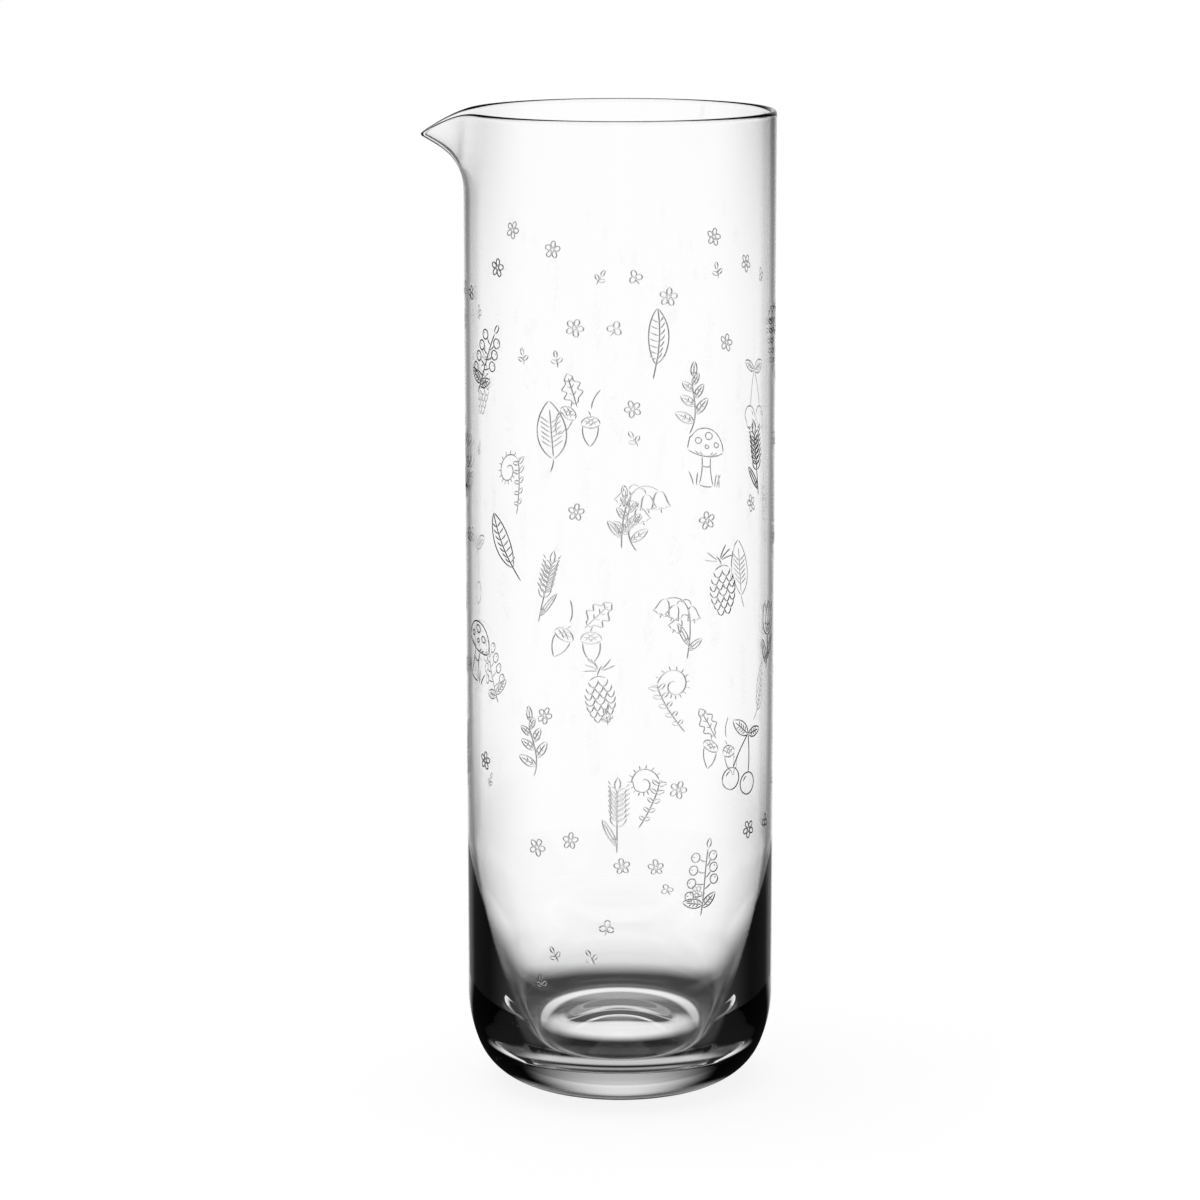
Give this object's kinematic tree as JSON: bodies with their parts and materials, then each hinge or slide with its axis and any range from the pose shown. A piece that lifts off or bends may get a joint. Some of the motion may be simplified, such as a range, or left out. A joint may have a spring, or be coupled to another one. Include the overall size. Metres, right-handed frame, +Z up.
{
  "type": "glass water jug",
  "caption": "Tall round water jug of clear glass without a handle, with a thick rounded base and a pouring lip drawn out of the rim.",
  "frame": {"origin": "centre of the flat underside, on the axis of the round body", "axes": "+Z up along the body's axis, the pouring lip points to -X, the picture is taken from -Y"},
  "size_m": [0.098, 0.0864, 0.275],
  "materials": {
    "clear_glass": "fire-polished clear glass with fine engraved lines"
  },
  "bodies": {
    "root": {"glass_body": "clear_glass"}
  },
  "joints": []
}
